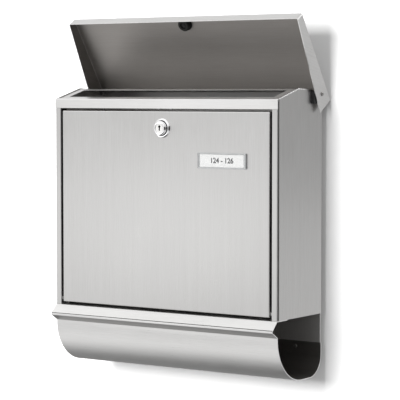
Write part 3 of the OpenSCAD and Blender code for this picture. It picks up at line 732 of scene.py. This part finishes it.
card = settle(capped("paper_card", ring_stack((card_hi[0] - card_lo[0]) / 2, (card_hi[2] - card_lo[2]) / 2, 0.5, [
    (0.03, y_front - card_hi[1]), (0, y_front - card_hi[1] + 0.03), (0, y_front - card_lo[1] - 0.03),
    (0.03, y_front - card_lo[1])], 3), on_plate))
pane = settle(capped("clear_pane", ring_stack((pane_hi[0] - pane_lo[0]) / 2, (pane_hi[2] - pane_lo[2]) / 2, 0.7, [
    (0.1, y_front - pane_hi[1]), (0, y_front - pane_hi[1] + 0.1), (0, y_front - pane_lo[1] - 0.25),
    (0.25, y_front - pane_lo[1])], 4), on_plate))
print(f"plate {2 * half_w:.1f} x {2 * half_h:.1f} mm, {proud:.1f} mm proud of the door's face")

# %% [markdown]
# The number is printed on the card, so it is text with almost no depth. It is made a mesh first
# and only then laid on the card, because a finished piece keeps its place in its points and its
# object stays at the origin.

# %% House number on the card
writing = bpy.data.curves.new("house_number", "FONT")
writing.body, writing.size, writing.extrude, writing.offset = "124 - 126", 1.0, 0.01, 0.032
writing.align_x, writing.align_y = "CENTER", "CENTER"
label = bpy.data.objects.new("house_number", writing)
bpy.context.scene.collection.objects.link(label)
bpy.context.view_layer.update()
flat = bpy.data.meshes.new_from_object(label.evaluated_get(bpy.context.evaluated_depsgraph_get()))
bpy.data.objects.remove(label)
spots = np.zeros(len(flat.vertices) * 3)
flat.vertices.foreach_get("co", spots)
spots = spots.reshape(-1, 3)
size_mm = 9.6
spots = np.column_stack([spots[:, 0] * size_mm, spots[:, 1] * size_mm, (y_front - card_lo[1]) + 0.02 + spots[:, 2]])
number = new_mesh("card_number", on_plate(spots), [list(f.vertices) for f in flat.polygons])
bpy.data.meshes.remove(flat)
close_up(number, weld=0.001)
for piece, node, slot in ((holder, "plate_holder", "holder_plastic"), (card, "name_card", "card"),
                          (pane, "plate_window", "clear_window")):
    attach(piece, "door")
    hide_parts(node)
    report(piece)
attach(number, "door")
report(number)

# %% [markdown]
# The lid's fittings: moulded blocks that keep the flanges off the casing, pins with domed heads,
# and a rubber buffer with a dimple round its rivet.

# %% Hinge blocks, pins and buffer
block_lo, block_hi = plane("hinge_blocks")
block_mid = (block_lo + block_hi) / 2
block_profile = np.concatenate([[(0, 0.02)], arc((0.7, 4.3), 0.7, 180, 90, 4),
                                [(3.6, 5.0), (3.9, 4.7), (4.4, 4.7), (4.7, 5.0)]])
blocks = []
for side in (-1, 1):
    stack = ring_stack((block_hi[1] - block_lo[1]) / 2, (block_hi[2] - block_lo[2]) / 2, 2.6, block_profile)
    turn = lambda p, s=side: np.column_stack(
        [s * (x_side + p[:, 2]), s * p[:, 0] + block_mid[1], p[:, 1] + block_mid[2]])
    blocks.append(settle(capped("block", stack, turn)))
blocks = join("hinge_blocks_moulded", *blocks)

pin_profile = np.concatenate([[(0, -10.6), (1.7, -10.6), (2.0, -10.3), (2.0, 0), (3.0, 0)],
                              arc((2.55, 0.3), 0.45, 0, 55, 3), [(1.6, 0.88), (0.9, 0.9), (0.7, 0.7), (0, 0.7)]])
pins = join("lid_pins_turned", *[turned("pin", pin_profile, facing(axis, (s * 191.6, hinge[1], hinge[2])), 32)
                                 for axis, s in (("x", 1), ("-x", -1))])

buffer_profile = np.concatenate([
    [(1.65, 0), (10.0, 0), (10.2, 0.2), (10.2, 0.8), (10.0, 1.0), (9.0, 1.0), (8.7, 1.3), (8.7, 5.2)],
    arc((6.9, 5.4), 1.8, 0, 90, 6), arc((5.2, 6.6), 0.6, 90, 180, 3), [(4.4, 5.2), (4.2, 5.0), (1.65, 5.0)]])
buffer_y = lid_front + sheet + 0.6 + 10.2
buffer = turned("rubber_buffer", buffer_profile,
                lambda p: stand_open(np.column_stack([p[:, 0], -p[:, 1] + buffer_y, 14.0 - p[:, 2]])), 56, ring=True)
for piece, node, body, slot in ((blocks, "hinge_blocks", "casing", "black_plastic"),
                                (pins, "lid_pins", "casing", "fixings"),
                                (buffer, "lid_buffer", "lid", "black_rubber")):
    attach(piece, body)
    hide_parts(node)
    report(piece)

# %% [markdown]
# Behind the box: four spacers with a flange and a bore for the wall screws, and domed rivets
# that hold the roof, the guard, the floor and the tube.

# %% Wall spacers and rivets
spacer_profile = [(3.5, 0.0), (7.2, 0.0), (8.0, 0.8), (8.0, 2.6), (7.4, 3.4),
                  (7.4, 8.0), (8.0, 8.8), (8.0, 11.0), (3.5, 11.0)]
spacers = join("wall_spacers_turned", *[
    turned("spacer", spacer_profile, facing("-y", (x, 0, z)), 40, ring=True) for x, z in wall_screws])


def rivet_profile(grip, head=3.4, tail=2.6):
    """Domed outer head below height 0, shank of the grip's length, and a flat inner head."""
    dome = arc((0, 1.6), 4.05, -90, -57.0, 5) * [1, 0.62]
    dome[:, 1] = dome[:, 1] - dome[-1, 1] - 0.25
    return np.concatenate([[(0, dome[0, 1])], dome[1:] * [head / dome[-1, 0], 1],
                           [(head, 0), (1.6, 0), (1.6, grip), (tail, grip), (tail, grip + 0.5),
                            (tail - 0.3, grip + 0.8), (0, grip + 0.8)]])


def rivets(name, spots, axis, grip):
    """One rivet at each spot."""
    return join(name, *[turned("rivet", rivet_profile(grip), facing(axis, spot), 24) for spot in spots])


rivet_x = [-0.78 * x_side, 0.0, 0.78 * x_side]
z_roof = float(edge_height(np.array(y_rear))) - 0.8 - sheet - 6.5
z_low = z_floor + 6.5
z_tube = tube_hi[2] - 40.1 - 7.5
casing_rivets = rivets("casing_rivets_domed", [(x, y_rear, z) for x in rivet_x for z in (z_roof, z_low)], "-y", 2.0)
guard_rivets = rivets("guard_rivets_domed", [(s * 0.62 * x_side, y_rear, guard_top - 8) for s in (-1, 1)], "-y", 2.0)
tube_rivets = join("tube_rivets_domed", rivets("back", [(x, y_rear, z_tube) for x in rivet_x], "-y", 2.0),
                   rivets("front", [(k * x_side / 4, y_front + 23.5, z_foot - 1) for k in (-3, -1, 1, 3)], "z", 2.0))
for piece, node, slot in ((spacers, "wall_spacers", "black_plastic"), (casing_rivets, "casing_rivets", "fixings"),
                          (guard_rivets, "guard_rivets", "fixings"), (tube_rivets, "tube_rivets", "fixings")):
    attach(piece, "casing")
    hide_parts(node)
    report(piece)
    print("   frame:", [v.round(1).tolist() for v in plane(node)])

# %% [markdown]
# A finish is a small network of nodes in front of one shader. These helpers keep each network
# short: noise makes a pattern, a range turns it into a number, and a mix turns it into a colour.

# %% Helpers for finishes


def finish_of(name):
    """New material with a Principled shader, and a helper that adds nodes and links to it."""
    made = bpy.data.materials.new(name)
    made.use_nodes = True
    tree = made.node_tree
    shader = tree.nodes["Principled BSDF"]

    def node(kind, inputs=None, **settings):
        n = tree.nodes.new(kind)
        for key, value in settings.items():
            setattr(n, key, value)
        for key, value in (inputs or {}).items():
            socket = n.inputs[key]
            if isinstance(value, bpy.types.NodeSocket):
                tree.links.new(value, socket)
            else:
                socket.default_value = value
        return n

    def into(socket, value):
        tree.links.new(value, shader.inputs[socket])

    return made, shader, node, into


def noise(node, vector, stretch, detail=3.0, rough=0.6):
    """Noise whose coordinates are first multiplied by stretch, so that its spots are long where stretch is small."""
    scaled = node("ShaderNodeMapping", {"Vector": vector, "Scale": stretch})
    return node("ShaderNodeTexNoise", {"Vector": scaled.outputs[0], "Scale": 1.0, "Detail": detail,
                                       "Roughness": rough}).outputs[0]


def between(node, value, low, high, source=(0.3, 0.7)):
    """A number that runs from low to high while the noise runs over its source range."""
    return node("ShaderNodeMapRange", {"Value": value, "From Min": source[0], "From Max": source[1],
                                       "To Min": low, "To Max": high}).outputs[0]


def sum_of(node, *terms):
    """Weighted sum of sockets, given as (socket, weight) pairs."""
    total = None
    for value, weight in terms:
        part = node("ShaderNodeMath", {0: value, 1: weight}, operation="MULTIPLY").outputs[0]
        total = part if total is None else node("ShaderNodeMath", {0: total, 1: part}, operation="ADD").outputs[0]
    return total


def mixed(node, factor, dark, light):
    """Colour between dark and light by a factor."""
    mix = node("ShaderNodeMix", {"Factor": factor}, data_type="RGBA")
    mix.inputs["A"].default_value, mix.inputs["B"].default_value = (*dark, 1), (*light, 1)
    return mix.outputs["Result"]


print("helpers ready; materials so far:", len(bpy.data.materials))

# %% [markdown]
# Brushed stainless steel is a mirror covered in fine parallel scratches. Along a scratch the
# surface is smooth, across it the light is spread out, and that is what anisotropy describes. The
# scratches are noise that is stretched along U of the grain map, in three widths: broad bands
# left by the rollers, streaks of about a millimetre, and hair lines that show only close up.

# %% Brushed steel


def grained_steel(name, dark, light, rough=(0.27, 0.37), aniso=0.65, bump=0.25):
    """Brushed steel: colour, roughness and a very low bump all follow the same stretched noise."""
    made, shader, node, into = finish_of(name)
    grain = node("ShaderNodeUVMap", uv_map="grain").outputs[0]
    place = node("ShaderNodeTexCoord").outputs["Object"]
    bands = noise(node, grain, (4.0, 150.0, 1.0), 2.0)
    streaks = noise(node, grain, (24.0, 1200.0, 1.0), 3.0, 0.7)
    hairs = noise(node, grain, (60.0, 6000.0, 1.0), 3.0, 0.7)
    clouds = noise(node, place, (6.0, 6.0, 6.0), 3.0)
    tone = sum_of(node, (bands, 0.10), (streaks, 0.38), (hairs, 0.30), (clouds, 0.22))
    into("Base Color", mixed(node, between(node, tone, 0, 1, (0.38, 0.62)), dark, light))
    wear = sum_of(node, (streaks, 0.4), (hairs, 0.3), (clouds, 0.3))
    into("Roughness", between(node, wear, *rough, (0.38, 0.62)))
    relief = sum_of(node, (streaks, 0.4), (hairs, 0.6))
    lift = node("ShaderNodeBump", {"Height": relief, "Strength": bump, "Distance": 0.00003})
    into("Normal", lift.outputs[0])
    into("Tangent", node("ShaderNodeTangent", direction_type="UV_MAP", uv_map="grain").outputs[0])
    shader.inputs["Metallic"].default_value = 1.0
    shader.inputs["Anisotropic"].default_value = aniso
    shader.inputs["Anisotropic Rotation"].default_value = 0.25
    return made


steel_upright = grained_steel("brushed_steel_upright", (0.56, 0.555, 0.545), (0.68, 0.675, 0.67))
steel_across = grained_steel("brushed_steel_across", (0.60, 0.595, 0.585), (0.72, 0.715, 0.71))
# A lighter copy of the same steel for the roof and the header band: the extra brightness is painted light from above.
header_lit_steel = grained_steel("brushed_steel_painted_light_header", (0.66, 0.655, 0.645), (0.78, 0.775, 0.77))
# A darker copy of the same steel: painted shade on the faces under the tube's ridge fold.
fold_shade_steel = grained_steel("brushed_steel_painted_fold_shade", (0.36, 0.355, 0.35), (0.45, 0.445, 0.44))
steel_inside = grained_steel("mill_steel_inside", (0.62, 0.61, 0.60), (0.70, 0.69, 0.68), (0.38, 0.48), 0.4)
# The lid's and the tube's inner faces are mill finish like the casing's inside, but made much darker: painted shade
# under the raised lid and inside the tube.
lid_shade_steel = grained_steel("mill_steel_lid_painted_shade", (0.29, 0.275, 0.262), (0.36, 0.342, 0.326), (0.42, 0.52), 0.3)
tube_shade_steel = grained_steel("mill_steel_tube_painted_shade", (0.24, 0.228, 0.218), (0.30, 0.287, 0.277), (0.42, 0.52), 0.3)
print("steel finishes:", [m.name for m in bpy.data.materials if "steel" in m.name])

# %% [markdown]
# Plastic, rubber, paper and plated metal have no grain. Even noise in the piece's own coordinates
# varies their colour, roughness and bump together, fine for paper and coarser for cast metal.

# %% Plain finishes


def plain_finish(name, dark, light, scale, rough, metallic=0.0, bump=0.2, lift=0.00005, specular=0.5):
    """Finish without a grain: even noise at one scale, in the object's own coordinates, drives colour,
    roughness and bump; used on cast, moulded and plated parts."""
    made, shader, node, into = finish_of(name)
    place = node("ShaderNodeTexCoord").outputs["Object"]
    fine = noise(node, place, (scale, scale, scale), 4.0)
    broad = noise(node, place, (scale / 12, scale / 12, scale / 12), 2.0)
    tone = sum_of(node, (fine, 0.55), (broad, 0.45))
    into("Base Color", mixed(node, between(node, tone, 0, 1, (0.35, 0.65)), dark, light))
    into("Roughness", between(node, tone, *rough, (0.35, 0.65)))
    into("Normal", node("ShaderNodeBump", {"Height": fine, "Strength": bump, "Distance": lift}).outputs[0])
    shader.inputs["Metallic"].default_value = metallic
    shader.inputs["Specular IOR Level"].default_value = specular
    return made


def painted_shade_ends(made, middle, reach):
    """Darkens a moulded finish beyond a distance from the middle along X, both in mm. The dark ends
    are painted shade along the holder's edges."""
    tree = made.node_tree
    shader = tree.nodes["Principled BSDF"]
    tone = shader.inputs["Base Color"].links[0].from_socket
    new, link = tree.nodes.new, tree.links.new
    place, axes, off, far, limit, mix = [new("ShaderNode" + kind) for kind in (
        "TexCoord", "SeparateXYZ", "Math", "Math", "MapRange", "Mix")]
    link(place.outputs["Object"], axes.inputs[0])
    off.operation, far.operation, mix.data_type = "SUBTRACT", "ABSOLUTE", "RGBA"
    off.inputs[1].default_value = middle * 0.001
    link(axes.outputs["X"], off.inputs[0])
    link(off.outputs[0], far.inputs[0])
    link(far.outputs[0], limit.inputs["Value"])
    limit.inputs["From Min"].default_value = reach * 0.001
    limit.inputs["From Max"].default_value = (reach + 0.25) * 0.001
    link(limit.outputs[0], mix.inputs["Factor"])
    link(tone, mix.inputs["A"])
    # dark colour of the painted shade at the holder's ends
    mix.inputs["B"].default_value = (0.16, 0.165, 0.17, 1)
    link(mix.outputs["Result"], shader.inputs["Base Color"])


cut_edge = plain_finish("cut_edge", (0.62, 0.615, 0.61), (0.78, 0.775, 0.77), 900, (0.22, 0.34), 1.0)
chrome = plain_finish("polished_chrome", (0.90, 0.90, 0.91), (0.96, 0.96, 0.96), 350, (0.025, 0.06), 1.0, 0.02)
dull_pin = plain_finish("dull_pin", (0.24, 0.23, 0.225), (0.36, 0.35, 0.345), 700, (0.30, 0.42), 1.0, 0.2)
zinc = plain_finish("zinc_plate", (0.48, 0.48, 0.47), (0.66, 0.66, 0.66), 600, (0.28, 0.42), 1.0, 0.3)
black_plastic = plain_finish("black_plastic", (0.005, 0.005, 0.0055), (0.015, 0.015, 0.016), 1500,
                             (0.42, 0.55), bump=0.35, specular=0.35)
rubber = plain_finish("black_rubber", (0.005, 0.005, 0.005), (0.016, 0.0155, 0.015), 900,
                      (0.50, 0.68), bump=0.4, specular=0.35)
holder_plastic = plain_finish("holder_plastic", (0.52, 0.53, 0.53), (0.60, 0.61, 0.61), 700, (0.28, 0.38), 0.0, 0.15)
# The holder's ends are darkened: painted shade along its edges.
painted_shade_ends(holder_plastic, plate_x + 0.4, half_w - 0.55)
paper = plain_finish("paper_card", (0.90, 0.90, 0.89), (0.95, 0.95, 0.94), 1800, (0.75, 0.9), 0.0, 0.3, specular=0.2)
ink = plain_finish("printed_ink", (0.008, 0.008, 0.01), (0.02, 0.02, 0.025), 2500, (0.6, 0.8), 0.0, 0.2, specular=0.2)
clear = plain_finish("clear_window", (0.93, 0.95, 0.96), (0.97, 0.98, 0.99), 120, (0.03, 0.08), 0.0, 0.03)
clear.node_tree.nodes["Principled BSDF"].inputs["Alpha"].default_value = 0.08
nickel_plug = plain_finish("nickel_plug", (0.82, 0.815, 0.80), (0.92, 0.915, 0.90), 500, (0.14, 0.24), 1.0, 0.1)
print(len(bpy.data.materials), "materials in all")

# %% [markdown]
# Each sheet has three slots: its outer face, its cut edge and its inner face. The underside of the
# tube's ridge gets a darker copy of the steel, which is painted shade, because the fold hides it
# from the light. Small parts take one finish, and so do the parts of the frame that keep their own shape.

# %% Paint the pieces


def paint(piece, *finishes):
    """Puts finishes into a piece's material slots in order; the last one fills any slots that are left."""
    slots = piece.data.materials
    while len(slots) < len(finishes):
        slots.append(None)
    for i in range(len(slots)):
        slots[i] = finishes[min(i, len(finishes) - 1)]


for piece, finish in ((casing, steel_upright), (front, steel_upright), (door, steel_upright),
                      (inlet, header_lit_steel), (floor_sheet, steel_inside), (guard_sheet, steel_inside)):
    paint(piece, finish, cut_edge, steel_inside)
# The inner faces of the lid and the tube take the darker steel, which is painted shade.
paint(lid, steel_across, cut_edge, lid_shade_steel)
paint(tube, steel_across, cut_edge, tube_shade_steel, fold_shade_steel, cut_edge, tube_shade_steel)
# The keyway's faces are black plastic: painted shade in the hollow.
paint(plug, nickel_plug, black_plastic)
for piece, finish in ((escutcheon, chrome), (hems, cut_edge), (groove_shade_ring, rubber), (gap_strips, rubber),
                      (holder, holder_plastic), (card, paper), (number, ink), (pane, clear),
                      (blocks, black_plastic), (pins, dull_pin), (buffer, rubber), (spacers, black_plastic),
                      (casing_rivets, zinc), (guard_rivets, zinc), (tube_rivets, dull_pin)):
    paint(piece, finish)
carried_over = {"pin_clips": zinc, "door_pivots": zinc, "lock_keeper": zinc, "door_buffers": rubber,
                "buffer_rivet": black_plastic, "lock_nut": zinc, "plate_clips": zinc, "lock_cam": zinc,
                "cam_nut": zinc}
for name, finish in carried_over.items():
    paint(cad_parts[name], finish)
print(len(bpy.data.materials), "materials;", len(carried_over), "frame pieces keep their own shape")

# %% [markdown]
# Steel shows the room around it more than any lamp, so the room is painted with care: bright
# above, lighter on the left than on the right, darker below. Two dark cards stand in it, as in a
# studio for metal ware, and give the side panel and the tube's lower bend their depth.

# %% Room


def room():
    """World whose brightness depends on the direction alone: a ramp over its height, a second one over
    its compass direction and the dark cards are multiplied. The camera itself sees one pale tone."""
    world = bpy.data.worlds.new("room")
    bpy.context.scene.world = world
    world.use_nodes = True
    tree = world.node_tree
    background = tree.nodes["Background"]
    new, link = tree.nodes.new, tree.links.new
    direction = new("ShaderNodeTexCoord")
    parts = new("ShaderNodeSeparateXYZ")
    link(direction.outputs["Generated"], parts.inputs[0])

    def ramp(value, low, high, stops):
        level = new("ShaderNodeMapRange")
        level.inputs["From Min"].default_value, level.inputs["From Max"].default_value = low, high
        link(value, level.inputs["Value"])
        colours = new("ShaderNodeValToRGB")
        link(level.outputs[0], colours.inputs[0])
        band = colours.color_ramp
        band.elements[0].position, band.elements[1].position = stops[0][0], stops[-1][0]
        for place, _ in stops[1:-1]:
            band.elements.new(place)
        for element, (_, shade) in zip(band.elements, stops):
            element.color = (shade, shade, shade, 1)
        return colours.outputs[0]

    height = ramp(parts.outputs["Z"], -1, 1, [
        (0.0, 0.10), (0.05, 0.20), (0.09, 0.42), (0.13, 0.72), (0.16, 0.80), (0.25, 0.76),
        (0.36, 0.56), (0.46, 0.50), (0.58, 0.70), (0.75, 1.0), (1.0, 1.1)])
    facing_left = new("ShaderNodeVectorMath")
    facing_left.operation = "DOT_PRODUCT"
    facing_left.inputs[1].default_value = (-0.60, -0.80, 0.0)
    link(direction.outputs["Generated"], facing_left.inputs[0])
    compass = ramp(facing_left.outputs["Value"], -1, 1, [
        (0.0, 0.57), (0.5, 0.58), (0.62, 0.68), (0.8, 0.96), (1.0, 1.0)])

    def flag(towards, wide, near, shade):
        """Dark card in one direction: 1 where the angle's cosine is below wide, shade where it is above near."""
        beside = new("ShaderNodeVectorMath")
        beside.operation = "DOT_PRODUCT"
        beside.inputs[1].default_value = towards
        link(direction.outputs["Generated"], beside.inputs[0])
        return ramp(beside.outputs["Value"], wide, near, [(0.0, 1.0), (1.0, shade)])

    def times(a, b):
        both = new("ShaderNodeMix")
        both.data_type, both.blend_type = "RGBA", "MULTIPLY"
        both.inputs["Factor"].default_value = 1.0
        link(a, both.inputs["A"])
        link(b, both.inputs["B"])
        return both.outputs["Result"]

    surroundings = times(height, compass)
    for card in (flag((0.87, -0.49, -0.03), 0.918, 0.948, 0.03), flag((-0.55, 0.47, -0.69), 0.88, 0.955, 0.42)):
        surroundings = times(surroundings, card)
    rays = new("ShaderNodeLightPath")
    seen = new("ShaderNodeMix")
    seen.data_type = "RGBA"
    link(rays.outputs["Is Camera Ray"], seen.inputs["Factor"])
    link(surroundings, seen.inputs["A"])
    seen.inputs["B"].default_value = (0.66, 0.66, 0.66, 1)
    link(seen.outputs["Result"], background.inputs["Color"])
    background.inputs["Strength"].default_value = 1.5
    return world


studio = room()
print("nodes in the room:", len(studio.node_tree.nodes))

# %% [markdown]
# Four area lamps. The window is the strong one and falls on the wall alone, so that it draws the
# soft shadow and doesn't wash out the steel. A small soft spot in front lights the door, and two
# fills behind keep the rear and the tube's open end readable.

# %% Lamps


def lamp(name, at, aim, width, power):
    """Square area light of the given width that shines from one point towards another."""
    light = bpy.data.lights.new(name, "AREA")
    light.size, light.energy = width, power
    holder = bpy.data.objects.new(name, light)
    bpy.context.scene.collection.objects.link(holder)
    holder.location = at
    holder.rotation_euler = (Vector(aim) - Vector(at)).to_track_quat("-Z", "Y").to_euler()
    return holder


window = lamp("window_left", (-0.25, -3.0, 0.70), (0, -0.05, 0), 1.2, 215)
lamp("soft_spot_front", (-1.15, -1.83, -0.20), (0, -0.12, 0), 0.36, 0.62)
lamp("fill_behind", (1.6, 2.4, 1.6), (0, 0, 0), 1.5, 20)
lamp("low_fill_behind", (1.30, 1.60, -0.46), (0.18, -0.06, -0.1), 0.7, 0.8)

# %% [markdown]
# The floor and the wall aren't part of the object. Both are pale and matt, and the steel doesn't
# mirror them. The wall shows only from its front: seen from behind it is clear, so that the back
# of the box can be looked at.

# %% Floor and wall


def stage_plane(name, corners, shade, front_only=False):
    """Pale matt plane that steel doesn't mirror; front_only hides it from behind."""
    obj = new_mesh(name, corners, [[0, 1, 2, 3]])
    made, shader, node, into = finish_of(name)
    place = node("ShaderNodeTexCoord").outputs["Object"]
    into("Base Color", mixed(node, noise(node, place, (40, 40, 40)), (shade - 0.01,) * 3, (shade + 0.01,) * 3))
    shader.inputs["Roughness"].default_value = 0.95
    shader.inputs["Specular IOR Level"].default_value = 0.0
    if front_only:
        out = made.node_tree.nodes["Material Output"]
        clearway = node("ShaderNodeBsdfTransparent")
        side = node("ShaderNodeNewGeometry").outputs["Backfacing"]
        blend = node("ShaderNodeMixShader", {0: side})
        made.node_tree.links.new(shader.outputs[0], blend.inputs[1])
        made.node_tree.links.new(clearway.outputs[0], blend.inputs[2])
        made.node_tree.links.new(blend.outputs[0], out.inputs[0])
        obj.visible_shadow = obj.visible_diffuse = False
    obj.visible_glossy = False
    obj.data.materials.append(made)
    return obj


z_ground, far, wall_y, reach = -620, 40000, 0.4, 4000
stage_plane("floor", [(-far, -far, z_ground), (far, -far, z_ground), (far, far, z_ground), (-far, far, z_ground)], 0.82)
wall = stage_plane("wall", [(-reach, wall_y, z_ground), (reach, wall_y, z_ground),
                            (reach, wall_y, reach), (-reach, wall_y, reach)], 0.52, front_only=True)
lit_by_window = bpy.data.collections.new("lit_by_window")
lit_by_window.objects.link(wall)
window.light_linking.receiver_collection = lit_by_window

# %% [markdown]
# A long lens keeps the box's edges nearly parallel. The camera stands to the right of the box,
# a little above its middle, and looks slightly down.

# %% Camera
eye = bpy.data.cameras.new("camera")
eye.lens, eye.sensor_width = 166.84, 36.0
camera = bpy.data.objects.new("camera", eye)
bpy.context.scene.collection.objects.link(camera)
camera.location = (1.4694, -2.1747, 0.1397)
camera.rotation_euler = (radians(90 - 3.337), 0, radians(34.466))
bpy.context.scene.camera = camera
bpy.context.scene.view_settings.view_transform = "Standard"
print(f"lens {eye.lens:.1f} mm, camera {camera.location.length:.2f} m from the middle of the box")
